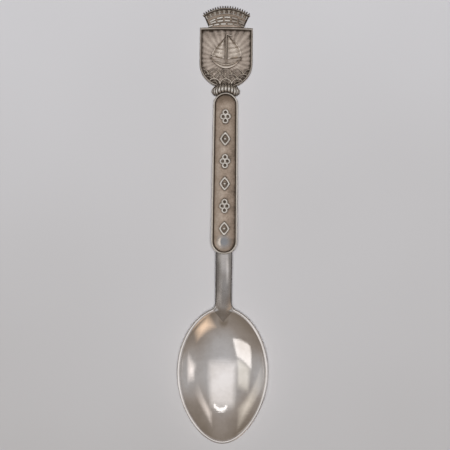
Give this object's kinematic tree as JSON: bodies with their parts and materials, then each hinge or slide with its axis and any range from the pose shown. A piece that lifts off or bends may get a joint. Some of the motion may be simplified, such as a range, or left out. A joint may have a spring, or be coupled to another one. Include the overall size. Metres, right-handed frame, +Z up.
{
  "type": "souvenir spoon",
  "caption": "Small silver souvenir spoon: egg-shaped bowl, arched neck, ornamented handle panel, shield with a sailing boat, and a fan-shaped mural crown.",
  "frame": {"origin": "on the table, under the middle of the spoon's length and width, as it lies face up", "axes": "+Y along the spoon from the bowl to the crown, +Z up out of the bowl, +X to the right"},
  "size_m": [0.025, 0.12, 0.0098],
  "materials": {
    "polished_silver": "polished, lightly worn",
    "worn_silver": "worn bright on its high edges",
    "oxidised_silver": "oxidised grey-brown ground"
  },
  "bodies": {
    "root": {"bowl": "polished_silver", "stem": "polished_silver", "handle_plate": "oxidised_silver", "handle_border": "worn_silver", "handle_cushion": "oxidised_silver", "motif_1": "worn_silver", "motif_2": "worn_silver", "motif_3": "worn_silver", "motif_4": "worn_silver", "motif_5": "worn_silver", "motif_6": "worn_silver", "collar": "worn_silver", "shield_plate": "oxidised_silver", "shield_border": "worn_silver", "ship_hull": "worn_silver", "ship_mast": "worn_silver", "ship_sail": "worn_silver", "sea_waves": "worn_silver", "crown_plate": "oxidised_silver", "crown_battlement": "worn_silver", "crown_arcade": "worn_silver", "crown_stones": "worn_silver"}
  },
  "joints": []
}
